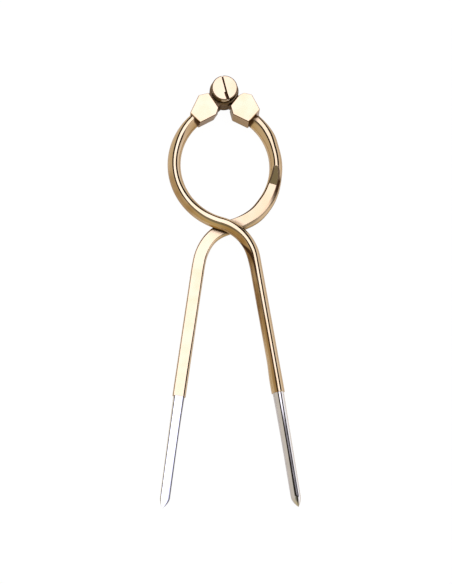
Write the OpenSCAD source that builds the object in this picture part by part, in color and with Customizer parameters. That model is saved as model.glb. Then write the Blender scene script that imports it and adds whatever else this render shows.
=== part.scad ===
// One-handed divider, lying on its back with the points towards -Y.
// Two bent brass arms cross below a screwed hinge: together they make a finger ring above the crossing and
// two legs below it. Squeezing the ring opens the legs, and squeezing the legs closes them.
// The origin is on the hinge axis, in the plane that the hinge lies on. All sizes are in millimetres.

/* [Pose] */
// Angle between the two legs, in degrees
opening = 17.7; // [0:0.1:48]

/* [Arms] */
// Diameter of the brass rod that both arms are bent from
rod_d = 5.3; // [4:0.1:6]
// Radius of the finger ring, measured to the middle of the rod
ring_r = 25.5; // [22:0.5:32]
// Straight length of rod between a hinge block and the finger ring
lead_l = 1.7; // [0.5:0.1:6]
// Radius of the reverse bend from the finger ring into the leg, to the middle of the rod
bend_r = 18; // [10:0.5:30]
// Length of the straight brass leg below the reverse bend
leg_l = 58.5; // [30:0.5:100]
// Depth of the sliding flat, cut into the side of the rod that faces the other arm
flat_depth = 1.45; // [1:0.05:2.5]
// Length of the slope where the sliding flat runs out into the round rod
runout_l = 8; // [4:0.5:14]
// Angle from the widest point of the ring down to the start of the flat, in degrees
flat_start = 9; // [0:1:20]
// Diameter of the turned-down end that is soldered into the hinge block
spigot_d = 3.2; // [2:0.1:3.5]
// Length of that turned-down end
spigot_l = 6; // [3:0.5:6.5]

/* [Steel points] */
// Length of the steel that shows below the brass leg
point_l = 44.5; // [25:0.5:70]
// Diameter of the point where it leaves the leg
point_d = 4.5; // [3.8:0.1:4.8]
// Diameter of the point where its nose begins
nose_d = 3.2; // [2:0.1:3.8]
// Length of the rounded nose down to the sharp end
nose_l = 4.5; // [2:0.5:10]
// Diameter of the tenon in the end of the leg
tenon_d = 1.4; // [0.8:0.1:1.6]
// Length of the tenon
tenon_l = 8; // [4:0.5:14]

/* [Hinge blocks] */
// Radius of the round ears and of the tongue
lug_r = 5.9; // [5:0.1:8]
// Room between the round ears of one block and the face of the other
lug_gap = 0.7; // [0.3:0.1:2]
// Length of the two slanted stop faces beside the hinge
stop_l = 3; // [2:0.1:5]
// Length of the tapered part of the block, from its widest place to the rod
taper_l = 7.2; // [6:0.1:14]
// Width of the block at its widest place
block_w = 10.6; // [8:0.1:13]
// Width of the block where the rod comes out
block_end_w = 6; // [5.2:0.1:8]
// Thickness of each ear of the fork
ear_t = 2.7; // [2:0.1:4]
// Thickness of the tongue between the ears
tongue_t = 2.5; // [1.5:0.1:4]
// Depth of the seat in the front ear, below the front of the blocks, for the washers and the screw head
seat_depth = 0.8; // [0.2:0.1:1.2]

/* [Pivot screw] */
// Diameter of the screw head
head_d = 10.5; // [8:0.1:11.5]
// Height of the screw head
head_t = 2.8; // [1.6:0.1:3.4]
// Width of the bevel round the screw head
head_bevel = 0.35; // [0.1:0.05:0.6]
// Width of the screwdriver slot
slot_w = 0.7; // [0.5:0.1:1.5]
// Depth of the screwdriver slot
slot_depth = 1.2; // [0.5:0.1:1.4]
// Direction of the slot, in degrees from the line between the legs
slot_turn = 16; // [-90:1:90]
// Diameter of the screw
screw_d = 4; // [3:0.1:5]

/* [Washers] */
// Thickness of the flat washer on the front ear
head_washer_t = 0.5; // [0.3:0.1:1]
// Diameter of the flat washer on the front ear
head_washer_d = 9.6; // [8:0.1:11]
// Thickness of the dished spring washer
spring_t = 0.3; // [0.2:0.05:0.5]
// Rise of the dished spring washer from its rim to its hole
spring_rise = 0.15; // [0.05:0.05:0.4]
// Diameter of the dished spring washer
spring_d = 8.8; // [7:0.1:10]
// Thickness of the two friction washers beside the tongue
friction_t = 0.25; // [0.15:0.05:0.6]
// Diameter of the two friction washers
friction_d = 10.8; // [8:0.1:11.4]

/* [Fits] */
// Distance from the middle plane to each sliding flat
flat_gap = 0.05; // [0.02:0.01:0.2]
// Radial clearance of the screw in the ears and the tongue
screw_gap = 0.05; // [0.02:0.01:0.1]
// Radial clearance of the washers round the screw
washer_gap = 0.15; // [0.05:0.05:0.3]
// Room between faces that slide on each other
face_gap = 0.02; // [0.01:0.01:0.05]
// Room for solder round spigots and tenons
solder_gap = 0.02; // [0.01:0.01:0.05]

/* [Hidden] */
$fn = 96;

BRASS = "#d9b25f";
STEEL = "#c9ccd1";
BRONZE = "#8a6238";

// Stack of the hinge along the screw, from the plane it lies on
washer_room = friction_t + 2 * face_gap;
block_t = 2 * ear_t + tongue_t + 2 * washer_room;
mid_z = block_t / 2;
rear_washer_z = ear_t + face_gap;
front_washer_z = mid_z + tongue_t / 2 + face_gap;
seat_z = block_t - seat_depth;
spring_z = seat_z + head_washer_t;
head_z = spring_z + spring_t + spring_rise + face_gap;

// Plan of a hinge block, as distances from the hinge axis
block_face = lug_r + lug_gap;
block_shoulder = block_face + stop_l;
block_end = block_shoulder + taper_l;
face_w = block_w * block_face / block_shoulder;

// Course of an arm. The rod leaves its block in line with the hinge axis and runs tangent into the ring,
// and the reverse bend is tangent to both the ring and the leg, whose line passes through the hinge axis.
tangent_l = block_end + lead_l;
ring_drop = sqrt(tangent_l * tangent_l + ring_r * ring_r);
block_turn = atan2(ring_r, tangent_l);
bend_rise = sqrt(ring_r * ring_r + 2 * ring_r * bend_r);
bend_drop = ring_drop + bend_rise;
bend_turn = atan2(bend_rise, bend_r);
leg_end = bend_drop + leg_l;

// Angles round the ring, counted from +X about its middle
ring_from = 180 - block_turn;
ring_to = 180 + bend_turn;

// Height of the middle of the rod above the middle plane: what is left below it ends at the flat
rod_z = flat_gap + rod_d / 2 - flat_depth;

// How far the slope falls for each millimetre of its length
runout_fall = flat_depth / runout_l;

// A hair-thin collar over each joint between two stretches of rod makes them one solid
collar_t = 0.04;
collar_rise = 0.01;

// Steel points: each leans from the middle of the rod to the middle plane, where the two sharp ends meet
point_lean = asin(rod_z / point_l);
tenon_z = (flat_gap + rod_z + point_d / 2) / 2;
nose_steps = 8;

// Places an arm's pieces, drawn with the leg along -Y and the flat in the plane z = 0, at the opening
module front_place() {
    translate([0, 0, mid_z]) rotate([0, 0, opening / 2]) children();
}
module rear_place() {
    translate([0, 0, mid_z]) rotate([0, 0, -opening / 2]) rotate([0, 180, 0]) children();
}

// Turns a piece drawn down along -Y, such as a block, into line with the end of the arm
module along_block() {
    rotate([0, 0, -block_turn]) children();
}

// A round bar along -Y that starts at a distance from the hinge axis
module bar(from, length, d) {
    translate([0, -from, 0]) rotate([90, 0, 0]) cylinder(h = length, d = d);
}

// Places children on the ring's line at an angle, with the rod running along their Y axis
module on_ring(angle) {
    translate([0, -ring_drop, 0]) rotate([0, 0, angle]) translate([ring_r, 0, 0]) children();
}

module collar() {
    rotate([90, 0, 0]) cylinder(h = collar_t, d = rod_d + 2 * collar_rise, center = true);
}

// The whole rod, round all the way, bent to its course in the plane z = 0
module bent_rod() {
    along_block() bar(block_end - spigot_l, spigot_l + lead_l / 2, spigot_d);
    along_block() bar(block_end, lead_l, rod_d);
    on_ring(ring_from) collar();
    translate([0, -ring_drop, 0]) rotate_extrude(angle = ring_to - ring_from, start = ring_from)
        translate([ring_r, 0]) circle(d = rod_d);
    on_ring(ring_to) collar();
    translate([-bend_r, -bend_drop, 0]) rotate_extrude(angle = bend_turn, start = 0)
        translate([bend_r, 0]) circle(d = rod_d);
    bar(bend_drop, leg_l, rod_d);
}

// What is milled away: a slope into the rod, drawn on past its surface, then the flat down to the leg's end.
// The edge between the two lies square across the rod, on a line through the middle of the ring.
module flat_cut() {
    spare = rod_d / 2;
    reach = 2 * (ring_r + rod_d);
    translate([0, -ring_drop, 0]) rotate([0, 0, flat_start]) rotate([90, 0, 90])
        linear_extrude(2 * reach, center = true)
            polygon([[0, flat_gap], [-leg_end, flat_gap], [-leg_end, -rod_d - spare],
                     [runout_l + spare, -rod_d - spare],
                     [runout_l + spare, flat_gap - (runout_l + spare) * runout_fall]]);
}

module arm() {
    difference() {
        translate([0, 0, rod_z]) bent_rod();
        flat_cut();
        translate([0, 0, tenon_z])
            bar(leg_end - tenon_l - solder_gap, tenon_l + 1, tenon_d + 2 * solder_gap);
    }
}

// A turned needle, cut flat in the plane of the leg's flat and square where it meets the leg, and its tenon
module point() {
    shank_l = point_l - nose_l;
    spare = point_d / 2;
    nose = [for (i = [0 : nose_steps]) let (s = i / nose_steps)
        [nose_d / 2 * (1 - s * s), shank_l + nose_l * s]];
    difference() {
        translate([0, -leg_end, rod_z]) rotate([90 + point_lean, 0, 0])
            rotate_extrude() polygon(concat([[0, -spare], [point_d / 2, -spare]], nose));
        translate([-point_d, -leg_end - point_l - spare, flat_gap - 2 * point_d])
            cube([2 * point_d, point_l + 2 * point_d, 2 * point_d]);
        translate([-point_d, -leg_end, -point_d]) cube([2 * point_d, 2 * point_d, rod_z + 3 * point_d]);
    }
    translate([0, 0, tenon_z]) bar(leg_end - tenon_l, tenon_l + nose_l, tenon_d);
}

// Body of a hinge block, drawn with its axis along -Y and its middle plane at z = 0. Its stop faces point at
// the hinge axis, so that the faces of the two blocks meet flat on each other when the legs are wide open.
module block_body() {
    difference() {
        linear_extrude(block_t, center = true)
            polygon([[-face_w / 2, -block_face], [-block_w / 2, -block_shoulder],
                     [-block_end_w / 2, -block_end], [block_end_w / 2, -block_end],
                     [block_w / 2, -block_shoulder], [face_w / 2, -block_face]]);
        translate([0, 0, rod_z])
            bar(block_end - spigot_l - solder_gap, spigot_l + 1, spigot_d + 2 * solder_gap);
    }
}

// A round lug about the hinge axis with its neck, bored for the screw
module lug(z, t) {
    translate([0, 0, z]) difference() {
        union() {
            cylinder(h = t, r = lug_r);
            translate([-face_w / 2, -block_face, 0]) cube([face_w, block_face, t]);
        }
        translate([0, 0, -1]) cylinder(h = t + 2, d = screw_d + 2 * screw_gap);
    }
}

// A flat washer round the screw
module washer(z, d, t) {
    translate([0, 0, z]) difference() {
        cylinder(h = t, d = d);
        translate([0, 0, -1]) cylinder(h = t + 2, d = screw_d + 2 * washer_gap);
    }
}

module front_arm() {
    color(BRASS) front_place() arm();
}

module rear_arm() {
    color(BRASS) rear_place() arm();
}

module fork_block() {
    color(BRASS) front_place() along_block() {
        block_body();
        lug(-mid_z, ear_t);
        lug(mid_z - ear_t, ear_t - seat_depth);
    }
}

module tongue_block() {
    color(BRASS) rear_place() along_block() {
        block_body();
        lug(-tongue_t / 2, tongue_t);
    }
}

module front_point() {
    color(STEEL) front_place() point();
}

module rear_point() {
    color(STEEL) rear_place() point();
}

module pivot_screw() {
    color(BRASS) difference() {
        union() {
            cylinder(h = head_z + head_t / 2, d = screw_d);
            translate([0, 0, head_z]) rotate_extrude()
                polygon([[0, 0], [head_d / 2, 0], [head_d / 2, head_t - head_bevel],
                         [head_d / 2 - head_bevel, head_t], [0, head_t]]);
        }
        rotate([0, 0, slot_turn]) translate([-slot_w / 2, -head_d, head_z + head_t - slot_depth])
            cube([slot_w, 2 * head_d, slot_depth + 1]);
    }
}

module head_washer() {
    color(BRASS) washer(seat_z, head_washer_d, head_washer_t);
}

module spring_washer() {
    inner = screw_d / 2 + washer_gap;
    color(STEEL) translate([0, 0, spring_z]) rotate_extrude()
        polygon([[inner, spring_rise], [spring_d / 2, 0], [spring_d / 2, spring_t],
                 [inner, spring_rise + spring_t]]);
}

module front_friction_washer() {
    color(BRONZE) washer(front_washer_z, friction_d, friction_t);
}

module rear_friction_washer() {
    color(BRONZE) washer(rear_washer_z, friction_d, friction_t);
}

front_arm();
rear_arm();
fork_block();
tongue_block();
front_point();
rear_point();
pivot_screw();
head_washer();
spring_washer();
front_friction_washer();
rear_friction_washer();
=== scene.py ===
# %% [markdown]
# # A one-handed divider in polished brass
# A divider carries a distance from a chart's scale to its course line. This one is worked by one hand:
# squeeze the finger ring and the legs open, squeeze the legs and they close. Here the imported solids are
# loaded as a fixed frame, each piece is made again as a finely rounded mesh in the same place, and the
# finishes, light and camera follow. Blender counts in metres, and the sizes are written in millimetres.

# %% Load the frame
from math import asin, atan2, cos, degrees, hypot, pi, radians, sin, sqrt

import bmesh
import bpy
from mathutils import Matrix, Vector


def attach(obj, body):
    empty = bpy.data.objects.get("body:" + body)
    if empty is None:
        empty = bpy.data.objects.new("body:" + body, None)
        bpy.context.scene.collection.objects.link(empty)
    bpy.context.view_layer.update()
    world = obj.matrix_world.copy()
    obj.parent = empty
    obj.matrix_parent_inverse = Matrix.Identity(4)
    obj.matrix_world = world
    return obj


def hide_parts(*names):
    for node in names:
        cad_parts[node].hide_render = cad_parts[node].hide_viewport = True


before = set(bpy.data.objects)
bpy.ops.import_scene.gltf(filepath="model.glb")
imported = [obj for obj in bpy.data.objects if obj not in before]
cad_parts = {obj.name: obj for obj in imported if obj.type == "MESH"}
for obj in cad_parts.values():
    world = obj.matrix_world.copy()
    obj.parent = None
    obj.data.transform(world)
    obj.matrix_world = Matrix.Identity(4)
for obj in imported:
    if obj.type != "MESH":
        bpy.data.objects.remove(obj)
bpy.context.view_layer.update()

MM = 0.001
scene = bpy.context.scene

# %% [markdown]
# ## Sizes
# The legs stand 17.7 degrees apart in the photograph. The arms are bent from 5.3 mm rod, and a hinge
# block, the ring and the reverse bend follow one another tangentially, so most places follow from a few
# radii and lengths. Most numbers are those of the solid model, because a piece that stands for a solid
# has to lie where it lies. The screw's slot, the seams of the points and the depth to which the rods are
# set into their blocks were measured in the photograph.

# %% Driving sizes, in millimetres and degrees
OPENING = 17.7
ROD_R, RING_R, BEND_R = 2.65, 25.5, 18.0
LEAD_L, LEG_L = 1.7, 58.5
SPIGOT_R, SPIGOT_L, SEAT_L = 1.6, 6.0, 1.0
FLAT_GAP, FLAT_DEPTH, FLAT_START = 0.05, 1.45, 9.0
POINT_L, POINT_R, NOSE_R, NOSE_L = 44.5, 2.25, 1.6, 4.5
TENON_R, TENON_L = 0.7, 8.0
FRONT_SEAM, REAR_SEAM = 2.1, 1.4
LUG_R, LUG_GAP, STOP_L, TAPER_L = 5.9, 0.7, 3.0, 7.2
EAR_T, TONGUE_T = 2.7, 2.5
SEAT_DEPTH, HEAD_R, HEAD_T, SCREW_R = 0.8, 5.25, 2.8, 2.0
SLOT_W, SLOT_DEPTH, SLOT_TURN, SLOT_OFF = 0.56, 1.2, 13.5, 0.32
WASHER_R, WASHER_T = 4.8, 0.5
SPRING_R, SPRING_T, SPRING_RISE = 4.4, 0.3, 0.15
FRICTION_R, FRICTION_T = 5.4, 0.25
FACE_GAP, SCREW_GAP, WASHER_GAP, SOLDER_GAP = 0.02, 0.05, 0.15, 0.02

# %% Places that follow from them
BLOCK_T = 2 * EAR_T + TONGUE_T + 2 * (FRICTION_T + 2 * FACE_GAP)
MID_Z = BLOCK_T / 2
BLOCK_FACE = LUG_R + LUG_GAP
BLOCK_END = BLOCK_FACE + STOP_L + TAPER_L
TANGENT_L = BLOCK_END + LEAD_L
RING_DROP = hypot(TANGENT_L, RING_R)
BLOCK_TURN = atan2(RING_R, TANGENT_L)
BEND_RISE = sqrt(RING_R ** 2 + 2 * RING_R * BEND_R)
BEND_DROP = RING_DROP + BEND_RISE
BEND_TURN = atan2(BEND_RISE, BEND_R)
LEG_END = BEND_DROP + LEG_L
ROD_Z = FLAT_GAP + ROD_R - FLAT_DEPTH
TENON_Z = (FLAT_GAP + ROD_Z + POINT_R) / 2
SEAT_Z = BLOCK_T - SEAT_DEPTH
SPRING_Z = SEAT_Z + WASHER_T
HEAD_Z = SPRING_Z + SPRING_T + SPRING_RISE + FACE_GAP
HEAD_TOP = HEAD_Z + HEAD_T
print("block", round(BLOCK_T, 2), "leg end", round(LEG_END, 2), "head", round(HEAD_Z, 2))

# %% [markdown]
# ## Two mirrored limbs
# Both arms are bent to one course, and one is turned over so that the flats of the two slide on each
# other. So every piece of a limb is drawn with its leg down along -Y and its round side up, and a matrix
# puts it in place.

# %% Placing matrices
def in_place(turn, over):
    flip = Matrix.Rotation(pi, 4, "Y") if over else Matrix.Identity(4)
    return Matrix.Translation((0, 0, MID_Z * MM)) @ Matrix.Rotation(radians(turn), 4, "Z") @ flip


FRONT = in_place(OPENING / 2, False)
REAR = in_place(-OPENING / 2, True)
ALONG_BLOCK = Matrix.Rotation(-BLOCK_TURN, 4, "Z")
print("each limb is turned by", OPENING / 2, "and its block by", round(degrees(BLOCK_TURN), 1), "degrees")

# %% [markdown]
# ## Rings into a skin
# Rods, points, lugs, washers and the screw are all stacks of closed rings of points. One function joins a
# stack into a watertight mesh. It also stores where each point lies along the piece and around it, in
# millimetres, and on which flank. The finishes use that to let polishing marks run the way that a buffing
# wheel or a lathe leaves them, and to place painted reflection, painted shade and dirt.

# %% A mesh from rings
WELD = 1e-7
SHARP_TURN = 40


def store(mesh, name, values):
    """Keeps one number for each point of a mesh under a name."""
    mesh.attributes.new(name, "FLOAT", "POINT").data.foreach_set("value", values)


def finished(name, mesh):
    """Welds doubled points, turns the faces outwards, shades smooth and links the object."""
    work = bmesh.new()
    work.from_mesh(mesh)
    bmesh.ops.remove_doubles(work, verts=work.verts, dist=WELD)
    bmesh.ops.recalc_face_normals(work, faces=work.faces)
    work.to_mesh(mesh)
    work.free()
    mesh.set_sharp_from_angle(angle=radians(SHARP_TURN))
    for face in mesh.polygons:
        face.use_smooth = True
    piece = bpy.data.objects.new(name, mesh)
    scene.collection.objects.link(piece)
    print(name, len(mesh.vertices), "points", [round(d / MM, 2) for d in piece.dimensions])
    return piece


def skin(name, rings, place=Matrix.Identity(4), along=None, ends="caps"):
    """rings: lists of (x, y, z) in mm with equal counts; ends: caps, closed (last joins first) or tips."""
    count, last = len(rings[0]), len(rings) - 1
    points = [place @ (Vector(p) * MM) for ring in rings for p in ring]
    pairs = [(i, i + 1) for i in range(last)] + ([(last, 0)] if ends == "closed" else [])
    faces = [(a * count + j, a * count + (j + 1) % count, b * count + (j + 1) % count, b * count + j)
             for a, b in pairs for j in range(count)]
    if ends == "caps":
        faces += [tuple(range(count - 1, -1, -1)), tuple(range(last * count, (last + 1) * count))]
    mesh = bpy.data.meshes.new(name)
    mesh.from_pydata(points, [], faces)
    if along:
        spots = [(s, j) for s in along for j in range(count)]
        store(mesh, "along", [s for s, _ in spots])
        store(mesh, "around", [min(j, count - j) * 2 * pi * ROD_R / count for _, j in spots])
        store(mesh, "flank", [sin(2 * pi * j / count) for _, j in spots])
    return finished(name, mesh)


# %% [markdown]
# ## The section of an arm
# From the ring down, a flat is milled into each arm, so that the two slide on each other. Buffing then
# dubs its two edges over: the flat turns down slowly at first and quickly at the end, which a quarter of
# an ellipse does well. The outline is walked at even steps from its crest, so that a round rod, the
# sloping run-out and the half-round leg all have the same number of points and join without a seam.

# %% Outline of a flatted rod
AROUND, ARC_STEPS, EDGE_STEPS = 120, 60, 24
EDGE_WIDE, EDGE_TALL, EDGE_ROOM = 1.1, 0.5, 1.2
TINY = 1e-9


def even(points, count):
    """Places at even steps along a chain of points, with both ends among them."""
    ends = [0.0]
    for (x0, y0), (x1, y1) in zip(points, points[1:]):
        ends.append(ends[-1] + hypot(x1 - x0, y1 - y0))
    placed, k = [], 0
    for j in range(count + 1):
        s = ends[-1] * j / count
        while k < len(points) - 2 and ends[k + 1] < s:
            k += 1
        share = (s - ends[k]) / max(ends[k + 1] - ends[k], TINY)
        placed.append(tuple(a + (b - a) * share for a, b in zip(points[k], points[k + 1])))
    return placed


def half_flatted(radius, cut, wide, tall):
    """Points (across, up) from a circle's crest, down a side and a dubbed edge, to its flat's middle."""
    chord = sqrt(max(radius ** 2 - cut ** 2, 0.0))
    size = min(1.0, chord / (EDGE_ROOM * wide))
    wide, tall = wide * size, tall * size
    start = min(max(cut + tall, -radius), radius)
    side = sqrt(radius ** 2 - start ** 2)
    turns = [atan2(side, start) * k / ARC_STEPS for k in range(ARC_STEPS + 1)]
    half = [(radius * sin(t), radius * cos(t)) for t in turns]
    for k in range(1, EDGE_STEPS + 1):
        t = pi / 2 * k / EDGE_STEPS
        x, y = side - wide * (1 - cos(t)), start - tall * sin(t)
        half.append((min(x, sqrt(max(radius ** 2 - y ** 2, 0.0))), y))
    return even(half + [(0.0, cut)], AROUND // 2)


def flatted(radius, cut, wide=EDGE_WIDE, tall=EDGE_TALL, left=1.0, right=1.0):
    """A circle cut off below the height cut; left and right say how much more its edges are dubbed over."""
    east = half_flatted(radius, cut, wide * right, tall * right)
    west = half_flatted(radius, cut, wide * left, tall * left)
    return east + [(-x, y) for x, y in west[-2:0:-1]]


print("half-round leg is", round(2 * max(x for x, _ in flatted(ROD_R, FLAT_GAP)), 2), "mm wide")

# %% [markdown]
# ## The bent arms
# A maker bends the rod round formers. A curve object with a bevel would give a round rod too, but its
# section can't change along the way. So the course is walked in small steps, and at each step a section
# is laid across.

# %% Course of the rod, from the block to the end of the leg
RING_STEPS, BEND_STEPS, LEG_STEPS = 180, 60, 30
END_BREAK, LAST_STEP = 0.12, 0.1
DOWN = (0.0, -1.0)


def course(seam):
    """Places (x, y) and directions along the middle of the rod, in small steps."""
    lead = (-sin(BLOCK_TURN), -cos(BLOCK_TURN))
    seat = BLOCK_END - SEAT_L
    starts = (seat, seat + END_BREAK, BLOCK_END, BLOCK_END + LEAD_L / 2)
    walk = [((lead[0] * d, lead[1] * d), lead) for d in starts]
    for k in range(RING_STEPS + 1):
        a = pi - BLOCK_TURN + (BLOCK_TURN + BEND_TURN) * k / RING_STEPS
        walk.append(((RING_R * cos(a), RING_R * sin(a) - RING_DROP), (-sin(a), cos(a))))
    for k in range(1, BEND_STEPS + 1):
        a = BEND_TURN * (1 - k / BEND_STEPS)
        walk.append(((BEND_R * (cos(a) - 1), BEND_R * sin(a) - BEND_DROP), (sin(a), -cos(a))))
    for k in range(1, LEG_STEPS + 1):
        walk.append(((0.0, -BEND_DROP - (LEG_L - seam - LAST_STEP) * k / LEG_STEPS), DOWN))
    walk.append(((0.0, seam - LEG_END), DOWN))
    return walk


def across(place, way, section, shift=0.0):
    """Lays a section of (across, up) points square to the way at a place."""
    return [(place[0] - u * way[1], place[1] + u * way[0], v + shift) for u, v in section]


print("the rod is walked in", len(course(FRONT_SEAM)), "steps")

# %% Where the flat begins
SLOPE_FROM = pi - radians(FLAT_START)
SLOPE_TO = pi + radians(FLAT_START)
PAST_RING = 1.0


def cut_height(place):
    """Height of the milled face, counted from the middle of the rod, at a place of the course."""
    if place[1] < -BEND_DROP + PAST_RING or place[0] > -PAST_RING:
        return FLAT_GAP - ROD_Z
    a = atan2(place[1] + RING_DROP, place[0]) % (2 * pi)
    share = min(max((a - SLOPE_FROM) / (SLOPE_TO - SLOPE_FROM), 0), 1)
    return -ROD_R + share * FLAT_DEPTH


print("the run-out is", round(2 * radians(FLAT_START) * RING_R, 1), "mm long")

# %% [markdown]
# ## What the hand leaves
# No two rods that are bent and buffed by hand come out alike. On this divider the crest of each rod lies
# off its middle beside the block and on the leg. The rear rod is spread beside its block and where it was
# bent, and lies a little lower where the arms cross. The front leg is buffed thinner. A sculpting brush
# could do this, but a smooth step along the rod gives the same shape each time. All stretches are in
# millimetres along the rod, counted from the end of its block.

# %% Differences along the rod
AT_BLOCK = (-1.0, -0.3)
RING_DUB, FOOT_DUB, LEG_CRISP = 0.9, 0.45, 0.65
CREST_OFF_RING, CREST_OFF_LEG = 0.85, 0.25
LEG_SLIM, CROSSING_LOW = 0.14, 0.35
TOP_SPREAD, BEND_SPREAD, SPREAD_EASE = 0.25, 0.45, 0.45


def step(low, high, value):
    """A smooth step from 0 to 1."""
    share = min(max((value - low) / (high - low), 0.0), 1.0)
    return share * share * (3 - 2 * share)


def between(value, rise, fall):
    """Goes up from 0 to 1 over one stretch and down to 0 again over another."""
    return step(*rise, value) * (1 - step(*fall, value))


def dubbing(length):
    """How much the flat's edges are dubbed over: most on the ring's outside, least on the leg's outside."""
    ring = between(length, (24.0, 32.0), (44.0, 60.0))
    foot, leg = step(95.0, 125.0, length), step(56.0, 74.0, length)
    return {"left": 1.0 + RING_DUB * ring + FOOT_DUB * foot, "right": 1.0 - LEG_CRISP * leg}


def crest_off(length):
    """How far the crest lies off the middle: to the ring's outside at the block, to the leg's lower down."""
    ring = between(length, AT_BLOCK, (1.6, 16.0))
    return CREST_OFF_RING * ring - CREST_OFF_LEG * step(66.0, 78.0, length)


def slimmer_leg(length):
    """The share by which the front arm's leg is buffed thinner on its inner side."""
    return -LEG_SLIM * between(length, (72.0, 80.0), (118.0, 128.0))


def spread_ring(length):
    """The share by which the rear arm is wider outside the ring: beside its block and near the crossing."""
    beside_block = between(length, AT_BLOCK, (8.0, 15.0))
    bend = between(length, (24.0, 41.0), (55.0, 66.0)) * (1 - SPREAD_EASE * step(44.0, 54.0, length))
    return TOP_SPREAD * beside_block + BEND_SPREAD * bend


def shaped(section, crest, wider, aside=0.0):
    """Pushes a section's crest to its left, widens its left side by a share, and moves all of it aside."""
    pushed = [(u - crest * (v / ROD_R) ** 2, v) for u, v in section]
    return [((u * (1 + wider) if u < 0 else u) - aside, v) for u, v in pushed]


# %% Arms
SPIGOT_BREAK = 0.2


def circle(radius, count=AROUND):
    return [(radius * sin(2 * pi * j / count), radius * cos(2 * pi * j / count)) for j in range(count)]


def arm(name, place, seam, wider, lower):
    walk = course(seam)
    lead = walk[0][1]
    rings, along = [], []
    inner = BLOCK_END - SPIGOT_L
    for d, r in ((inner, SPIGOT_R - SPIGOT_BREAK), (inner + SPIGOT_BREAK, SPIGOT_R),
                 (BLOCK_END - SEAT_L, SPIGOT_R)):
        rings.append(across((lead[0] * d, lead[1] * d), lead, circle(r), ROD_Z))
        along.append(d - BLOCK_END)
    length, last = -SEAT_L, walk[0][0]
    for k, (spot, way) in enumerate(walk):
        length += hypot(spot[0] - last[0], spot[1] - last[1])
        last = spot
        trim = END_BREAK if k in (0, len(walk) - 1) else 0.0
        section = flatted(ROD_R - trim, cut_height(spot) + trim, **dubbing(length))
        aside = lower * between(length, (38.0, 45.0), (70.0, 80.0))
        rings.append(across(spot, way, shaped(section, crest_off(length), wider(length), aside), ROD_Z))
        along.append(length)
    for depth in (0.0, TENON_L + SOLDER_GAP):
        rings.append(across((0.0, seam - LEG_END + depth), DOWN, circle(TENON_R + SOLDER_GAP), TENON_Z))
        along.append(length)
    return skin(name, rings, place, along)


front_arm = arm("front_arm_rod", FRONT, FRONT_SEAM, slimmer_leg, 0.0)
rear_arm = arm("rear_arm_rod", REAR, REAR_SEAM, spread_ring, CROSSING_LOW)

# %% [markdown]
# ## Steel points
# Each point is a turned needle with one side ground flat. It leans a little, from the middle of the leg
# to the flat's plane, so that the two sharp ends meet. It tapers, ends in a short rounded nose, and sits
# in the leg on a thin tenon. Honing has left its crest off the middle and its inner side wider towards
# the nose. A cone would do for the needle, but the flat has to follow the taper, so the arm's section is
# used again.

# %% Points
POINT_WIDER, POINT_CREST_OFF, POINT_BREAK = 0.5, -0.3, 0.08
POINT_EDGE_WIDE, POINT_EDGE_TALL = 0.36, 0.16
SHANK_STEPS, NOSE_STEPS = 16, 24
TIP_BLUNT, TIP_LIFT = 0.1, 0.01


def point(name, place, seam):
    long = POINT_L + seam
    lean, shank = asin(ROD_Z / long), long - NOSE_L
    stations = [(0.0, POINT_R - POINT_BREAK), (POINT_BREAK, POINT_R)]
    for k in range(1, SHANK_STEPS + 1):
        stations.append((shank * k / SHANK_STEPS, POINT_R + (NOSE_R - POINT_R) * k / SHANK_STEPS))
    for k in range(1, NOSE_STEPS):
        stations.append((shank + NOSE_L * k / NOSE_STEPS, NOSE_R * (1 - (k / NOSE_STEPS) ** 2)))
    rings, along = [], []
    for depth in (TENON_L, 0.0):
        rings.append(across((0.0, seam - LEG_END + depth), DOWN, circle(TENON_R), TENON_Z))
        along.append(-depth)
    for s, r in stations:
        high = ROD_Z - s * sin(lean)
        ground = flatted(r, FLAT_GAP - high, POINT_EDGE_WIDE * r, POINT_EDGE_TALL * r)
        section = shaped(ground, POINT_CREST_OFF, POINT_WIDER * min(s / shank, 1.0) ** 2)
        rings.append(across((0.0, seam - LEG_END - s * cos(lean)), DOWN, section, high))
        along.append(s)
    tip = long - TIP_BLUNT
    rings.append([(0.0, seam - LEG_END - tip, FLAT_GAP + TIP_LIFT)] * AROUND)
    along.append(tip)
    return skin(name, rings, place, along)


front_point = point("front_steel_point", FRONT, FRONT_SEAM)
rear_point = point("rear_steel_point", REAR, REAR_SEAM)

# %% [markdown]
# ## Hinge blocks
# A block is filed from bar: flat sides all round, those beside the hinge slanted so that the blocks stop
# on each other. They are filed by hand, so the two plans differ a little, and the back of the fork
# slants. The sharp edges are broken with a fine file. The prism is bevelled, and a round lug or two is
# joined to it. A Boolean does the joining, as brazing or milling from one piece would, because the inside
# corners stay crisp.

# %% Filed body of a block
EDGE_BREAK, EDGE_SEGMENTS = 0.32, 4
FORK_PLAN = [(-3.67, 5.30), (-5.84, 8.85), (-3.0, 16.75), (2.9, 16.8), (5.05, 9.7), (3.6, 6.95)]
FORK_BACK = FORK_PLAN[:3] + [(2.1, 16.8), (4.15, 10.1)] + FORK_PLAN[5:]
TONGUE_PLAN = [(-2.67, 5.72), (-4.9, 6.5), (-6.6, 9.3), (-4.3, 16.05), (2.85, 16.45), (5.0, 9.7), (3.0, 6.4)]


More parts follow.
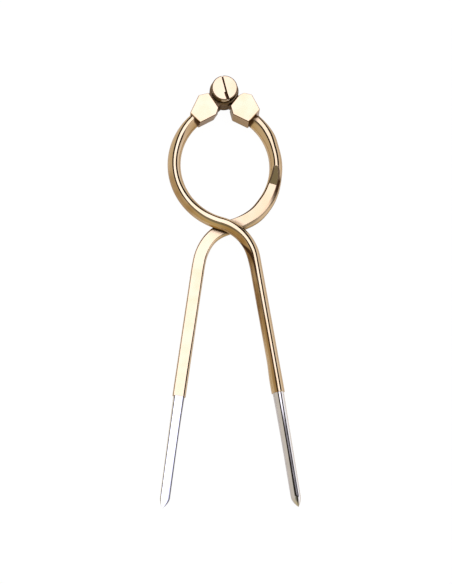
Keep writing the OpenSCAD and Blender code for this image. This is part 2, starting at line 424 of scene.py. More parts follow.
def block_body(name, plan, back):
    """A prism between two plans of (across, down) corners, with its edges broken."""
    work = bmesh.new()
    corners = [work.verts.new(Vector((x, -down, -MID_Z)) * MM) for x, down in plan]
    base = work.faces.new(corners)
    top = bmesh.ops.extrude_face_region(work, geom=[base])
    raised = [part for part in top["geom"] if isinstance(part, bmesh.types.BMVert)]
    bmesh.ops.translate(work, vec=(0, 0, BLOCK_T * MM), verts=raised)
    for corner, (x, down) in zip(corners, back):
        corner.co = Vector((x, -down, -MID_Z)) * MM
    bmesh.ops.recalc_face_normals(work, faces=work.faces)
    bmesh.ops.bevel(work, geom=work.edges[:], offset=EDGE_BREAK * MM, segments=EDGE_SEGMENTS, profile=0.5,
                    affect="EDGES")
    mesh = bpy.data.meshes.new(name)
    work.to_mesh(mesh)
    work.free()
    return finished(name, mesh)


# %% Round lug with its neck
LUG_AROUND, LUG_HAIR = 192, 0.002
NECK_IN, NECK_HALF = 1.2, 3.2
LUG_BREAK, SEAT_BREAK, BORE_BREAK = 0.35, 0.6, 0.1
BREAK_TURNS = (0, pi / 10, pi / 5, 3 * pi / 10, 2 * pi / 5, pi / 2)


def lug_outline(inset):
    """The lug's outline: a circle round the hinge axis, and a neck that reaches into the block."""
    radius, half, deep = LUG_R - LUG_HAIR - inset, NECK_HALF - inset, BLOCK_FACE + NECK_IN
    outline = []
    for j in range(LUG_AROUND):
        a = 2 * pi * j / LUG_AROUND
        side, down = abs(sin(a)), cos(a)
        neck = min(half / max(side, TINY), deep / down) if down > 0 else 0.0
        reach = max(radius, neck)
        outline.append((reach * sin(a), -reach * cos(a)))
    return outline


def broken(level, depth, upwards):
    """Heights and outlines of an edge that is rounded by a depth, from the face to the side."""
    return [(level + upwards * depth * (1 - cos(t)), lug_outline(depth * (1 - sin(t)))) for t in BREAK_TURNS]


def bore(radius):
    return [(x, -y) for x, y in circle(radius, LUG_AROUND)]


def lug(name, low, high, top_break=LUG_BREAK):
    narrow, wide = bore(SCREW_R + SCREW_GAP), bore(SCREW_R + SCREW_GAP + BORE_BREAK)
    levels = broken(low, LUG_BREAK, 1) + broken(high, top_break, -1)[::-1]
    levels += [(high, wide), (high - BORE_BREAK, narrow), (low + BORE_BREAK, narrow), (low, wide)]
    return skin(name, [[(x, y, z) for x, y in ring] for z, ring in levels], ends="closed")


# %% Joining pieces into one
FACE_WEIGHT = 100
BORE_PAST = 1.0


def joined(name, body, steps, place):
    """Adds and takes away helper pieces by Booleans, and leaves one mesh at its place."""
    for operation, helper in steps:
        cut = body.modifiers.new(operation.lower(), "BOOLEAN")
        cut.operation, cut.object, cut.solver = operation, helper, "EXACT"
    solid = bpy.data.meshes.new_from_object(body.evaluated_get(bpy.context.evaluated_depsgraph_get()))
    for helper in [body] + [h for _, h in steps]:
        bpy.data.objects.remove(helper)
    solid.transform(place)
    solid.name = name
    piece = finished(name, solid)
    flats = piece.modifiers.new("flats_stay_flat", "WEIGHTED_NORMAL")
    flats.keep_sharp, flats.weight = True, FACE_WEIGHT
    return piece


def spigot_bore():
    """What is drilled out of a block: a bore for the rod's spigot, and a wider seat for the rod itself."""
    seat = BLOCK_END - SEAT_L - SOLDER_GAP
    steps = [(BLOCK_END - SPIGOT_L - SOLDER_GAP, SPIGOT_R), (seat, SPIGOT_R), (seat, ROD_R),
             (BLOCK_END + BORE_PAST, ROD_R)]
    return skin("spigot_bore", [across((0.0, -d), DOWN, circle(r + SOLDER_GAP), ROD_Z) for d, r in steps])


# %% Fork and tongue
HAIR = 0.004
fork_block = joined("fork_hinge_block", block_body("fork_body", FORK_PLAN, FORK_BACK), [
    ("UNION", lug("rear_ear", -MID_Z + HAIR, -MID_Z + EAR_T)),
    ("UNION", lug("front_ear", MID_Z - EAR_T, MID_Z - SEAT_DEPTH, SEAT_BREAK)),
    ("DIFFERENCE", spigot_bore())], FRONT @ ALONG_BLOCK)
tongue_block = joined("tongue_hinge_block", block_body("tongue_body", TONGUE_PLAN, TONGUE_PLAN), [
    ("UNION", lug("tongue", -TONGUE_T / 2, TONGUE_T / 2)),
    ("DIFFERENCE", spigot_bore())], REAR @ ALONG_BLOCK)

# %% [markdown]
# ## Turned pieces
# The screw and its washers come off a lathe, so each is a profile spun round the hinge axis. The slot is
# sawn afterwards, a little off the middle, with its two edges broken, and slipping blades have chewed one
# end of it. A cut can't be spun, so two small prisms are taken out of the head by Booleans.

# %% Spun profiles
SPUN_AROUND, RIM_STEPS = 160, 4


def spun(name, profile, ends="closed"):
    """Spins a profile of (radius, height) points round the hinge axis."""
    steps = [2 * pi * j / SPUN_AROUND for j in range(SPUN_AROUND)]
    return skin(name, [[(r * cos(a), r * sin(a), z) for a in steps] for r, z in profile], ends=ends)


def rim(radius, height, soft, outwards, upwards, count=RIM_STEPS, tall=None):
    """A rounded corner of a profile, from its side to its face."""
    arc = [pi / 2 * k / count for k in range(count + 1)]
    tall = tall or soft
    return [(radius + outwards * soft * (cos(t) - 1), height + upwards * tall * (sin(t) - 1)) for t in arc]


# %% Washers
WASHER_SOFT, FRICTION_SOFT, SPRING_SOFT = 0.1, 0.06, 0.04
WASHER_HOLE = SCREW_R + WASHER_GAP


def washer(name, low, radius, thick, soft):
    high = low + thick
    profile = rim(radius, low, soft, 1, -1)[::-1] + rim(radius, high, soft, 1, 1)
    profile += rim(WASHER_HOLE, high, soft, -1, 1)[::-1] + rim(WASHER_HOLE, low, soft, -1, -1)
    return spun(name, profile)


def dished(name, low, radius, thick, rise, soft):
    """A washer whose inner edge stands higher than its outer edge."""
    inner = low + rise
    profile = [(WASHER_HOLE, inner + soft), (WASHER_HOLE + soft, inner), (radius - soft, low),
               (radius, low + soft), (radius, low + thick - soft), (radius - soft, low + thick),
               (WASHER_HOLE + soft, inner + thick), (WASHER_HOLE, inner + thick - soft)]
    return spun(name, profile)


head_washer = washer("head_washer_disc", SEAT_Z, WASHER_R, WASHER_T, WASHER_SOFT)
rear_friction = washer("rear_friction_disc", EAR_T + FACE_GAP, FRICTION_R, FRICTION_T, FRICTION_SOFT)
front_friction = washer("front_friction_disc", MID_Z + TONGUE_T / 2 + FACE_GAP, FRICTION_R, FRICTION_T,
                        FRICTION_SOFT)
spring_washer = dished("dished_spring_disc", SPRING_Z, SPRING_R, SPRING_T, SPRING_RISE, SPRING_SOFT)

# %% Pivot screw
HEAD_SOFT, HEAD_TALL, HEAD_STEPS, HEAD_UNDER = 0.6, 0.25, 12, 0.12
SHAFT_BREAK, SLOT_BREAK = 0.25, 0.1
SAW_REACH, SAW_PAST = HEAD_R + 1, 0.2
WEAR_DEPTH, WEAR_PAST = 0.55, 0.3
SAWN = Matrix.Rotation(radians(SLOT_TURN), 4, "Z") @ Matrix.Translation((SLOT_OFF * MM, 0, 0))


def slot_prism():
    """The saw's path: straight sides, and a small slope at the top that breaks the slot's edges."""
    half, low, edge, past = SLOT_W / 2, HEAD_TOP - SLOT_DEPTH, HEAD_TOP - SLOT_BREAK, HEAD_TOP + SAW_PAST
    wide = half + SLOT_BREAK + SAW_PAST
    sides = [(-half, low), (half, low), (half, edge), (wide, past), (-wide, past), (-half, edge)]
    return skin("slot_prism", [[(x, y, z) for x, z in sides] for y in (-SAW_REACH, SAW_REACH)], SAWN)


def slot_wear():
    """Where slipping blades have chewed away one edge of the slot, at its lower end."""
    chewed = [(0.3, -2.6), (0.0, -1.7), (-0.95, -1.85), (-0.95, -3.2), (-0.8, -4.3), (-0.7, -SAW_REACH),
              (0.6, -SAW_REACH), (0.5, -4.2)]
    levels = (HEAD_TOP - WEAR_DEPTH, HEAD_TOP + WEAR_PAST)
    return skin("slot_wear", [[(x, y, z) for x, y in chewed] for z in levels], SAWN)


shaft = [(0.0, 0.0), (SCREW_R - SHAFT_BREAK, 0.0), (SCREW_R, SHAFT_BREAK), (SCREW_R, HEAD_Z)]
head = rim(HEAD_R, HEAD_Z, HEAD_UNDER, 1, -1)[::-1]
head += rim(HEAD_R, HEAD_TOP, HEAD_SOFT, 1, 1, HEAD_STEPS, HEAD_TALL) + [(0.0, HEAD_TOP)]
pivot_screw = joined("slotted_pivot_screw", spun("screw_blank", shaft + head, "tips"),
                     [("DIFFERENCE", slot_prism()), ("DIFFERENCE", slot_wear())], Matrix.Identity(4))

# %% [markdown]
# ## Shader maths as expressions
# A finish is a small formula: so much roughness, plus a little more where the polishing lines are. Drawn
# as nodes such a formula is hard to read. This class wraps the output of a node, so that plus, minus,
# times and divide add the Math nodes, and one method adds any other node.

# %% Wires
MIX_FACTOR, MIX_FIRST, MIX_SECOND, MIX_COLOUR = 0, 6, 7, 2


class Wire:
    """One output of a shader node. Arithmetic with wires and numbers adds Math nodes."""

    def __init__(self, tree, socket=None):
        self.tree, self.socket = tree, socket

    def add(self, kind, settings=None, sockets=None, out=0):
        """Adds a node of a kind, with its settings first and then the values or wires of its sockets."""
        node = self.tree.nodes.new("ShaderNode" + kind)
        for key, value in (settings or {}).items():
            setattr(node, key, value)
        for key, value in (sockets or {}).items():
            if isinstance(value, Wire):
                self.tree.links.new(value.socket, node.inputs[key])
            else:
                node.inputs[key].default_value = value
        return Wire(self.tree, node.outputs[out])

    def maths(self, operation, first, second):
        return self.add("Math", {"operation": operation}, {0: first, 1: second})

    def __add__(self, other):
        return self.maths("ADD", self, other)

    def __radd__(self, other):
        return self.maths("ADD", other, self)

    def __sub__(self, other):
        return self.maths("SUBTRACT", self, other)

    def __rsub__(self, other):
        return self.maths("SUBTRACT", other, self)

    def __mul__(self, other):
        return self.maths("MULTIPLY", self, other)

    def __rmul__(self, other):
        return self.maths("MULTIPLY", other, self)

    def __truediv__(self, other):
        return self.maths("DIVIDE", self, other)

    def __rtruediv__(self, other):
        return self.maths("DIVIDE", other, self)

    def larger(self, other):
        return self.maths("MAXIMUM", self, other)

    def size(self):
        """The value without its sign."""
        return self.add("Math", {"operation": "ABSOLUTE"}, {0: self})

    def above(self, low, high):
        """0 below low, 1 above high, and a smooth step between."""
        sockets = {"Value": self, "From Min": low, "From Max": high}
        return self.add("MapRange", {"interpolation_type": "SMOOTHSTEP"}, sockets)

    def within(self, rise, fall):
        """Goes up from 0 to 1 over one stretch and down to 0 again over another."""
        return self.above(*rise) * (1 - self.above(*fall))

    def tint(self, first, second):
        """A colour from the first to the second as the wire goes from 0 to 1."""
        sockets = {MIX_FACTOR: self, MIX_FIRST: first, MIX_SECOND: second}
        return self.add("Mix", {"data_type": "RGBA"}, sockets, MIX_COLOUR)


# %% Helpers for surfaces
def fresh(name):
    """An empty material, its starting wire and its principled shader."""
    material = bpy.data.materials.new(name)
    material.use_nodes = True
    tree = material.node_tree
    shader = next(n for n in tree.nodes if n.type == "BSDF_PRINCIPLED")
    return material, Wire(tree), shader


def feed(shader, **sockets):
    for key, wire in sockets.items():
        wire.tree.links.new(wire.socket, shader.inputs[key.replace("_", " ")])


def millimetres(start):
    """Place on the piece, in millimetres."""
    spot = start.add("TexCoord", out="Object")
    return start.add("VectorMath", {"operation": "SCALE"}, {0: spot, "Scale": 1 / MM})


def carried(spot, *names):
    """Numbers that the mesh carries under their names, such as how far along the rod a place lies."""
    wires = [spot.add("Attribute", {"attribute_name": name}, out="Fac") for name in names]
    return wires if len(wires) > 1 else wires[0]


def split(vector):
    """The three parts of a vector: east, north and up."""
    axes = vector.add("SeparateXYZ", None, {"Vector": vector}).socket.node.outputs
    return [Wire(vector.tree, axis) for axis in axes]


def from_axis(spot):
    """Distance from the hinge axis."""
    east, north, _ = split(spot)
    return spot.add("Math", {"operation": "SQRT"}, {0: east * east + north * north})


def uprightness(spot):
    """0 where the surface faces sideways, 1 where it faces up or down."""
    return split(spot.add("NewGeometry", out="Normal"))[2].size()


def speckle(vector, size=1.0, detail=2.0, rough=0.5):
    """Noise whose blotches are about the given size across."""
    sockets = {"Vector": vector, "Scale": 1.0 / size, "Detail": detail, "Roughness": rough}
    return vector.add("TexNoise", None, sockets)


# %% [markdown]
# ## Polished brass
# New brass is bright yellow. In use it turns a little browner in patches. The amber on one flank of the rods
# is painted reflection, and the brown in corners, slits and along edges is painted shade, beside the real
# dirt of the joints. The buffing wheel leaves hair-fine lines that only show as a slight streak in the
# reflections. A painted picture could carry all of that, but would blur close up. So all brass shares one
# recipe of noise and masks, and only the direction of the lines and the places of painted reflection,
# painted shade and dirt change.

# %% Brass recipe
BRASS_BRIGHT = (0.780, 0.610, 0.350, 1.0)
BRASS_WARM = (0.710, 0.520, 0.250, 1.0)
BRASS_BROWN = (0.300, 0.170, 0.060, 1.0)
# Amber for the painted reflection on the rods and the painted shade on the blocks' sides, and the screw
# face's warmer tone.
BRASS_AMBER_AND_PAINTED_LIGHT = (0.420, 0.250, 0.080, 1.0)
# Dark brown for painted shade in corners, slits, slots and along edges, a painted dark reflection on the
# front leg, and the dirt of the joints.
BRASS_DIRT_AND_PAINTED_SHADE = (0.080, 0.037, 0.014, 1.0)
PATCH_SIZE, FLECK_SIZE = 9.0, 0.7
POLISH, LINE_ROUGH, PATCH_ROUGH, FLECK_ROUGH, DARKENED_ROUGH = 0.035, 0.04, 0.02, 0.12, 0.4
BRASS_BUMP, LINE_DEPTH = 0.06, 0.02 * MM


def brass(name, lines_of, dirt_and_painted_shade_of, tone_and_painted_light_of):
    material, start, shader = fresh(name)
    spot = millimetres(start)
    patches = speckle(spot, PATCH_SIZE, 3.0)
    lines = lines_of(spot)
    flecks = speckle(spot, FLECK_SIZE, 4.0, 0.6).above(0.66, 0.78)
    darkened = dirt_and_painted_shade_of(spot)
    colour = (patches.above(0.35, 0.75) * 0.6).tint(BRASS_BRIGHT, BRASS_WARM)
    colour = (flecks * 0.25).tint(colour, BRASS_BROWN)
    # Amber: painted reflection on the rods, painted shade on the blocks' sides, the warmer tone of the
    # screw's face.
    colour = tone_and_painted_light_of(spot, patches).tint(colour, BRASS_AMBER_AND_PAINTED_LIGHT)
    # Dark brown: painted shade and painted dark reflection, with the dirt of the joints.
    colour = darkened.tint(colour, BRASS_DIRT_AND_PAINTED_SHADE)
    rough = POLISH + LINE_ROUGH * lines + PATCH_ROUGH * patches + FLECK_ROUGH * flecks + DARKENED_ROUGH * darkened
    bump = start.add("Bump", None, {"Strength": BRASS_BUMP, "Distance": LINE_DEPTH, "Height": lines})
    feed(shader, Base_Color=colour, Roughness=rough, Normal=bump)
    shader.inputs["Metallic"].default_value = 1.0
    return material


# %% [markdown]
# ## Lines of the wheel, the file and the lathe
# Lines run along the rods, straight over the filed blocks, and round and round on turned pieces. In each
# case they are noise that is drawn out in one direction: little change along a line, much change across
# it.

# %% Directions of the polishing lines
ROD_LINES, HAIR_LINES = (0.08, 7.0), (0.05, 1.8)
FILE_TURN, FILE_LINES = (0.3, 0.2, 0.7), (0.12, 6.0, 6.0)
LATHE_LINES = 9.0


def drawn_out(spot, lines, detail):
    """Noise in lines along a rod, with so much change for each millimetre along it and around it."""
    along, around = carried(spot, "along", "around")
    strip = spot.add("CombineXYZ", None, {"X": along * lines[0], "Y": around * lines[1]})
    return speckle(strip, detail=detail)


def lengthwise(spot):
    return drawn_out(spot, ROD_LINES, 3.0)


def straight(spot):
    stretched = spot.add("Mapping", None, {"Vector": spot, "Rotation": FILE_TURN, "Scale": FILE_LINES})
    return speckle(stretched, detail=3.0)


def circular(spot):
    out, high = from_axis(spot) * LATHE_LINES, split(spot)[2] * LATHE_LINES
    return speckle(spot.add("CombineXYZ", None, {"X": out, "Y": high}))


# %% [markdown]
# ## Painted reflection and shade on the rods
# An amber painted reflection lies on one flank of each rod. Where the rod meets its block there is a dark
# joint with painted shade beside it, painted shade lies in the slit between the arms and beside the flat's
# run-out, and a painted dark reflection streaks down the front leg. Each is a product of smooth steps in
# millimetres along the rod from its block and around it from its crest. The flat lies about 5 mm and more
# around, and the flank goes from -1 on the ring's outside and the leg's inside to 1.

# %% Where the painted amber reflection lies
LOW_RING = (21.0, 29.0), (40.0, 50.0)
HIGH_LEG = (46.0, 68.0), (98.0, 118.0)
LEFT_HALF = (-6.0, -2.0)


def painted_amber_reflection(spot, patches):
    """Painted amber reflection on one flank, from the ring's lower half to the leg's upper half, and painted
    shade by the left block.
    """
    along, around, flank = carried(spot, "along", "around", "flank")
    rounded = 1 - around.above(4.2, 5.0)
    side = (1 - flank.above(-0.55, 0.0)) * rounded
    broad = (0.8 * along.within(*LOW_RING) + along.within(*HIGH_LEG)) * side
    flat = 0.17 * around.above(5.0, 5.8) * (1 - along.above(48.0, 62.0))
    low = 0.85 * along.above(92.0, 104.0) * (1 - flank.above(-0.1, 0.0)) * (1 - around.above(1.5, 2.6))
    left = 1 - split(spot)[0].above(*LEFT_HALF)
    # Painted shade on the inner side of the left rod, beside its block.
    left_corner_shade = 0.5 * left * flank.above(0.1, 0.5) * (1 - along.above(4.0, 18.0)) * rounded
    return flat + left_corner_shade + (broad * (0.65 + 0.33 * patches.above(0.38, 0.62))).larger(low)


# %% Joint and slit
SLIT_REACH = 3.2 * MM
SLIT_RAYS = 8


def joint_and_shade_at_the_block(spot):
    """The first millimetre of the rod, where it is soldered into its block: a dark joint with painted shade
    beside it, a little less on the right.
    """
    along, flank = carried(spot, "along", "flank")
    right = split(spot)[0].above(-1.0, 1.0)
    return 0.95 * (1 - (along - 1.1 * flank.above(0.1, 0.6) + 0.65 * right).above(-0.1, 0.75))


def shade_in_a_slit(spot):
    """Painted shade wherever another piece lies close over the flat, such as where the arms slide on each
    other.
    """
    open_to = spot.add("AmbientOcclusion", {"samples": SLIT_RAYS}, {"Distance": SLIT_REACH}, "AO")
    flat = carried(spot, "around").above(4.8, 5.5)
    return 0.95 * flat * (1 - open_to.above(0.5, 0.92))


# %% Painted dark reflection down the front leg
STREAK = (64.0, 66.5), (128.0, 134.0)
STREAK_THIN = (80.0, 88.0), (98.0, 112.0)
STREAK_BEND, STREAK_CURL = 79.5, 0.025
STREAK_AT, STREAK_LEAN = 1.71, 0.012
HAIRS = (70.0, 76.0), (94.0, 112.0)


def dark_reflection_down_the_leg(spot):
    """A painted dark reflection that wanders from the bend's inner side to the leg's crest, with dark hair
    lines below.
    """
    along, around, flank = carried(spot, "along", "around", "flank")
    inner = 1 - flank.above(0.0, 0.12)
    front = split(spot)[2].above(MID_Z, MID_Z + 0.2)
    bend = 1 - along.above(70.0, 80.0)
    over = (STREAK_BEND - along).larger(0.0)
    off = (around - (STREAK_AT - STREAK_LEAN * along) - STREAK_CURL * over * over).size()
    strength = (0.98 - 0.5 * along.within(*STREAK_THIN)) * along.within(*STREAK) * around.above(0.05, 0.4)
    streak = strength * (1 - off.above(0.3 + 0.2 * bend, 0.75 + 0.5 * bend))
    side = around.within((0.8, 1.4), (4.4, 5.0))
    hairs = 0.55 * drawn_out(spot, HAIR_LINES, 2.0).above(0.42, 0.6) * along.within(*HAIRS) * side
    return front * inner * streak.larger(hairs)


# %% Painted shade beside the run-out
RUN_OUT = (21.5, 23.0), (29.3, 29.9)
RIM_AT, RIM_FROM, RIM_LEAN = 7.6, 21.7, 0.17
FLAT_EDGE = (5.5, 6.0), (6.9, 7.3)


def shade_beside_the_run_out(spot):
    """Painted shade: dark lines along both edges of the run-out, and a darker band below it on the flat's
    outer edge.
    """
    along, around, flank = carried(spot, "along", "around", "flank")
    outer = 1 - flank.above(-0.2, 0.0)
    right = split(spot)[0].above(1.0, 4.0)
    band = around.within(*FLAT_EDGE) * along.above(25.0, 28.0) * (1 - 0.92 * along.above(31.0, 39.0))
    below = 0.5 * right * (1 - around.above(5.1, 5.5)) * along.above(26.0, 34.0)
    flank_shade = outer * (band + below) * (1 - along.above(52.0, 58.0))
    off = (around - (RIM_AT - RIM_LEAN * (along - RIM_FROM))).size()
    return (0.85 * along.within(*RUN_OUT) * (1 - off.above(0.15, 0.5))).larger(flank_shade)


def on_the_rod(spot):
    ends = joint_and_shade_at_the_block(spot).larger(shade_in_a_slit(spot))
    return ends.larger(dark_reflection_down_the_leg(spot).larger(shade_beside_the_run_out(spot)))


arm_brass = brass("polished_arm_brass", lengthwise, on_the_rod, painted_amber_reflection)
print("rods are finished in", arm_brass.name)

# %% [markdown]
# ## Painted shade on the blocks
# Only the two faces of a block are buffed; its sides are filed. The sides, the broken edges on the ring's
# side and the lugs under the screw are darkened as painted shade. The way in which a surface faces tells
# sides, edges and faces apart, so no mask has to be painted.

# %% Filed blocks
RING_SIDE = (0.705, 0.709)
# Strength of the painted shade on the lugs, and how much of it eases off to the north.
LUG_SHADE_DEPTH, LUG_SHADE_EASED = 0.78, 0.5


def shade_on_the_sides(spot, patches):
    """Painted shade on the filed sides of a block, darker on the left one."""
    left = 1 - split(spot)[0].above(-3.0, 0.0)
    return (1 - uprightness(spot).above(0.25, 0.7)) * (0.45 + 0.3 * patches + 0.38 * left)


def dark_line_along_an_edge(spot):
    """A painted dark line on the broken edges on the ring's side of a block."""
    east, north, _ = split(spot)
    ring_side = -RING_SIDE[0] * east.size() - RING_SIDE[1] * north
    edge = uprightness(spot).within((0.06, 0.2), (0.975, 0.997))
    return 0.8 * edge * ring_side.above(1.4, 2.2)


def shade_round_the_hinge(spot):
    """Painted shade on the lugs below the blocks' faces, eased to the north, together with the dark edge
    line.
    """
    _, north, height = split(spot)
    below = 1 - height.above(BLOCK_T - 0.5, BLOCK_T - 0.25)
    shaded = LUG_SHADE_DEPTH - LUG_SHADE_EASED * north.above(0.5, 4.0)
    return (shaded * below * (1 - from_axis(spot).above(6.8, 8.2))).larger(dark_line_along_an_edge(spot))


block_brass = brass("filed_block_brass", straight, shade_round_the_hinge, shade_on_the_sides)
print("blocks are finished in", block_brass.name)

# %% [markdown]
# ## Painted shade on the screw
# The slot is darkened as painted shade, and a painted dark line runs along the edge of the head's face.
# Both places follow from the height and the distance from the hinge axis, which a turned piece gives for
# nothing.

# %% Turned screw
def on_the_face(spot, patches):
    """The head's face is handled more than the blocks, and a little warmer."""
    return 0.05 + 0.12 * patches


def shade_on_the_head(spot):
    """Painted shade in the slot, whose walls lie below the face, and a painted dark line along the face's
    edge.
    """
    height, reach = split(spot)[2], from_axis(spot)
    inside = 1 - reach.above(HEAD_R - 0.25, HEAD_R - 0.1)
    slot = (1 - height.above(HEAD_TOP - 0.12, HEAD_TOP - 0.03)) * inside
    line = reach.above(HEAD_R - 0.45, HEAD_R - 0.25) * height.above(HEAD_TOP - 0.4, HEAD_TOP - 0.3)
    return slot.larger(0.7 * line)


screw_brass = brass("turned_screw_brass", circular, shade_on_the_head, on_the_face)
print("the screw is finished in", screw_brass.name)

# %% [markdown]
# ## Steel and bronze
# The points are ground steel, with fine lines along them. One flank carries a nearly white painted
# reflection, and the crest and one edge of the flat are darker. The spring washer is blued by its hardening,
# and the friction washers are bronze, browned by the oil on them. One recipe serves all three.

# %% Other metals
STEEL_BRIGHT, STEEL_DULL = (0.80, 0.80, 0.75, 1.0), (0.70, 0.70, 0.66, 1.0)
# The first colour is nearly white, painted on one flank of each point as a painted reflection.
STEEL_PAINTED_REFLECTION, STEEL_CREST = (0.98, 0.97, 0.84, 1.0), (0.80, 0.74, 0.56, 1.0)
# Near black, darkening the crest and one edge of the flat.
STEEL_DARKENED = (0.070, 0.062, 0.047, 1.0)
SPRING_BRIGHT, SPRING_DULL = (0.30, 0.31, 0.35, 1.0), (0.18, 0.17, 0.18, 1.0)
BRONZE_BRIGHT, BRONZE_DULL = (0.46, 0.27, 0.13, 1.0), (0.30, 0.16, 0.07, 1.0)
METAL_PATCH, METAL_BUMP = 5.0, 0.08


def on_the_point(spot, colour, patches):
    """The flank with its painted white reflection, the yellower crest, and the darker crest and edge of the
    flat.
    """
    along, around, flank = carried(spot, "along", "around", "flank")
    colour = flank.above(0.2, 0.5).tint(colour, STEEL_PAINTED_REFLECTION)
    colour = (0.7 * (1 - around.above(0.6, 1.3))).tint(colour, STEEL_CREST)
    dark_crest = (1 - around.above(0.45, 0.95)) * along.above(3.0, 15.0) * (0.8 + 0.2 * patches)
    edge = 0.65 * around.within((4.7, 5.3), (5.9, 6.3)) * (1 - flank.above(-0.1, 0.1))
    return dark_crest.larger(edge).tint(colour, STEEL_DARKENED)


def metal(name, lines_of, bright, dull, rough, streak, tone_and_painted_light_of=None):
    material, start, shader = fresh(name)
    spot = millimetres(start)
    patches = speckle(spot, METAL_PATCH, 3.0)
    lines = lines_of(spot)
    colour = (0.5 * lines + 0.5 * patches).above(0.3, 0.8).tint(bright, dull)
    if tone_and_painted_light_of:
        colour = tone_and_painted_light_of(spot, colour, patches)
    bump = start.add("Bump", None, {"Strength": METAL_BUMP, "Distance": LINE_DEPTH, "Height": lines})
    feed(shader, Base_Color=colour, Roughness=rough + streak * lines, Normal=bump)
    shader.inputs["Metallic"].default_value = 1.0
    return material


point_steel = metal("ground_point_steel", lengthwise, STEEL_BRIGHT, STEEL_DULL, 0.04, 0.04, on_the_point)
spring_steel = metal("hardened_spring_steel", circular, SPRING_BRIGHT, SPRING_DULL, 0.2, 0.12)
washer_bronze = metal("oiled_washer_bronze", circular, BRONZE_BRIGHT, BRONZE_DULL, 0.25, 0.15)
print("other metals", point_steel.name, spring_steel.name, washer_bronze.name)

# %% [markdown]
# ## Dressing the frame
# Each piece takes the place of its solid, rides on the body that the solid belongs to, and names its
# finish.

# %% Pieces, bodies and finishes
DRESS = [
    (front_arm, "front_arm", "front_limb", "arm_brass", arm_brass),
    (rear_arm, "rear_arm", "rear_limb", "arm_brass", arm_brass),
    (fork_block, "fork_block", "front_limb", "block_brass", block_brass),
    (tongue_block, "tongue_block", "rear_limb", "block_brass", block_brass),
    (front_point, "front_point", "front_limb", "point_steel", point_steel),
    (rear_point, "rear_point", "rear_limb", "point_steel", point_steel),
    (pivot_screw, "pivot_screw", "screw", "screw_brass", screw_brass),
    (head_washer, "head_washer", "front_limb", "screw_brass", screw_brass),
    (spring_washer, "spring_washer", "front_limb", "spring_steel", spring_steel),
    (front_friction, "front_friction_washer", "front_limb", "washer_bronze", washer_bronze),
    (rear_friction, "rear_friction_washer", "front_limb", "washer_bronze", washer_bronze),
]
for piece, node, body, slot, finish in DRESS:
    piece.data.materials.clear()
    piece.data.materials.append(finish)
    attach(piece, body)
    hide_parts(node)
print(len(DRESS), "pieces dressed")

# %% [markdown]
# ## Floor and room
# Polished metal shows the room, so the room is half of the finish. The divider lies on a white table,
# which glows a little so that it stays white in the picture. A softbox hangs over it, where the flats
# mirror it into the camera. Round it the ceiling is dark, which draws the fine dark lines beside each
# highlight, and the walls are pale, which gives the tan of the sides. Behind the camera the room is dim.

# %% Floor
WHITE = (1.0, 1.0, 1.0, 1.0)
PAPER, PAPER_MIRRORED = (0.92, 0.92, 0.92, 1.0), (0.97, 0.90, 0.83, 1.0)
GLOW, GLOW_SEEN, GLOW_MIRRORED = 1.05, 0.93, 0.2
TABLE_HALF, TABLE_Z = 3.0, -0.2 * MM


def table_finish():
    material, start, shader = fresh("white_table")
    rays = start.add("LightPath").socket.node.outputs
    kinds = ("Is Camera Ray", "Is Glossy Ray", "Is Transmission Ray")
    seen, mirrored, through = (Wire(start.tree, rays[kind]) for kind in kinds)
    paper = start.add("BsdfDiffuse", None, {"Color": mirrored.tint(PAPER, PAPER_MIRRORED)})
    glow = start.add("Emission", None, {"Color": WHITE, "Strength": GLOW})
    share = GLOW_SEEN * seen + GLOW_MIRRORED * mirrored + GLOW_MIRRORED * through
    mixed = start.add("MixShader", None, {0: start.maths("MINIMUM", share, 1.0), 1: paper, 2: glow})
    out = next(n for n in start.tree.nodes if n.type == "OUTPUT_MATERIAL")
    start.tree.nodes.remove(shader)
    start.tree.links.new(mixed.socket, out.inputs["Surface"])
    return material


floor_mesh = bpy.data.meshes.new("table_top")
corners = [(x * TABLE_HALF, y * TABLE_HALF, TABLE_Z) for x, y in ((-1, -1), (1, -1), (1, 1), (-1, 1))]
floor_mesh.from_pydata(corners, [], [(0, 1, 2, 3)])
floor_mesh.materials.append(table_finish())
floor = bpy.data.objects.new("table_top", floor_mesh)
scene.collection.objects.link(floor)
print("table", 2 * TABLE_HALF, "m wide")

# %% Softbox
LAMP_FAR, LAMP_WHITE, LAMP_TINT = 2.5, 2.3, (0.70, 0.710, 1.00)
LAMP_HALF_X, LAMP_HALF_Y = 0.31, 0.60
LAMP_WAY = Vector((0.13, 0.59, 0.81)).normalized()
LAMP_SIDE = Vector((0, 1, 0)).cross(LAMP_WAY).normalized()
LAMP_LONG = LAMP_WAY.cross(LAMP_SIDE)
LAMP_AIM = Vector((0, -85, MID_Z)) * MM


def facing(place, side, long, back):
    """A matrix that puts a lamp or camera at a place, with its three axes along three directions."""
    return Matrix.Translation(place) @ Matrix((side, long, back)).transposed().to_4x4()


lamp = bpy.data.lights.new("softbox", "AREA")
lamp.shape, lamp.size, lamp.size_y = "RECTANGLE", 2 * LAMP_HALF_X * LAMP_FAR, 2 * LAMP_HALF_Y * LAMP_FAR
lamp.energy, lamp.color = LAMP_WHITE * pi * lamp.size * lamp.size_y, LAMP_TINT
softbox = bpy.data.objects.new("softbox", lamp)
softbox.matrix_world = facing(LAMP_AIM + LAMP_WAY * LAMP_FAR, LAMP_SIDE, LAMP_LONG, LAMP_WAY)
scene.collection.objects.link(softbox)
print("softbox spans", [round(degrees(2 * atan2(half, 1)), 1) for half in (LAMP_HALF_X, LAMP_HALF_Y)])

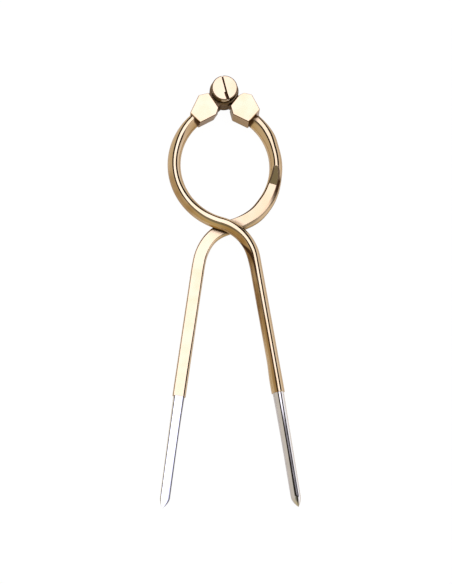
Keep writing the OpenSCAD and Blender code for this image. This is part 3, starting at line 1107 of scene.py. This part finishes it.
# %% Room
LEFT_FRAME, RIGHT_FRAME, FAR_FRAME, NEAR_FRAME, FRAME_SOFT = 0.50, 0.62, 0.60, 0.02, 0.14
DIM_WAY, DIM_FROM, DIM_TO = Vector((-0.042, -0.270, 0.962)).normalized(), radians(30), radians(12)
WALL_LEFT, WALL_RIGHT, WALL_NEAR = (0.69, 0.62, 0.58, 1.0), (0.92, 0.89, 1.08, 1.0), (0.60, 0.50, 0.33, 1.0)
DIM_SHADE, DARK_SHADE = (0.25, 0.245, 0.215, 1.0), (0.03, 0.027, 0.022, 1.0)
LEAST_AHEAD = 0.05
world = bpy.data.worlds.new("studio_room")
world.use_nodes = True
scene.world = world
room = Wire(world.node_tree)
way = room.add("TexCoord", out="Generated")


def towards(axis):
    """How far a direction goes along an axis."""
    return room.add("VectorMath", {"operation": "DOT_PRODUCT"}, {0: way, 1: tuple(axis)}, "Value")


ahead = towards(LAMP_WAY).larger(LEAST_AHEAD)
beside, beyond = towards(LAMP_SIDE) / ahead, towards(LAMP_LONG) / ahead
past_sides = (beside - (LAMP_HALF_X + RIGHT_FRAME)).larger(-(LAMP_HALF_X + LEFT_FRAME) - beside)
past_ends = (beyond - (LAMP_HALF_Y + FAR_FRAME)).larger(-(LAMP_HALF_Y + NEAR_FRAME) - beyond)
dark = 1 - past_sides.larger(past_ends).above(0.0, FRAME_SOFT)
sides = towards((1, 0, 0)).above(-0.5, 0.5).tint(WALL_LEFT, WALL_RIGHT)
walls = towards((0, -1, 0)).above(0.1, 0.8).tint(sides, WALL_NEAR)
dim = towards(DIM_WAY).above(cos(DIM_FROM), cos(DIM_TO))
light = dark.tint(dim.tint(walls, DIM_SHADE), DARK_SHADE)
shown = room.add("LightPath", out="Is Camera Ray").tint(light, WHITE)
background = next(n for n in world.node_tree.nodes if n.type == "BACKGROUND")
world.node_tree.links.new(shown.socket, background.inputs["Color"])
print("room of", len(world.node_tree.nodes), "nodes")

# %% [markdown]
# ## Camera
# The photograph was taken from above, tipped a little towards the points. Its tilt, turn and focal length
# were found by matching the arms' middle lines. The picture is taken to be 452 by 584 pixels.

# %% Camera
IMAGE_H, SENSOR = 584, 36.0
TILT, TURN, ROLL = radians(15.867), radians(8.861), radians(-0.925)
EYE_FAR, FOCAL = 1.3, 3247.7
AIM = Vector((-0.427, -83.987, MID_Z)) * MM
back = Vector((-sin(TILT) * sin(TURN), -sin(TILT) * cos(TURN), cos(TILT)))
up = (Vector((0, 1, 0)) - back * back.y).normalized()
right = up.cross(back)
tipped_right, tipped_up = right * cos(ROLL) + up * sin(ROLL), up * cos(ROLL) - right * sin(ROLL)
lens = bpy.data.cameras.new("photo_camera")
lens.sensor_fit, lens.sensor_height, lens.sensor_width = "AUTO", SENSOR, SENSOR
lens.lens = FOCAL / IMAGE_H * SENSOR
camera = bpy.data.objects.new("photo_camera", lens)
camera.matrix_world = facing(AIM + back * EYE_FAR, tipped_right, tipped_up, back)
scene.collection.objects.link(camera)
scene.camera = camera
scene.view_settings.view_transform = "Standard"
print("lens", round(lens.lens, 1), "mm")

# %% [markdown]
# ## Finish
# The view layer is brought up to date at the end. The dressed divider has to stay inside the solid
# one's box.

# %% Finish
bpy.context.view_layer.update()
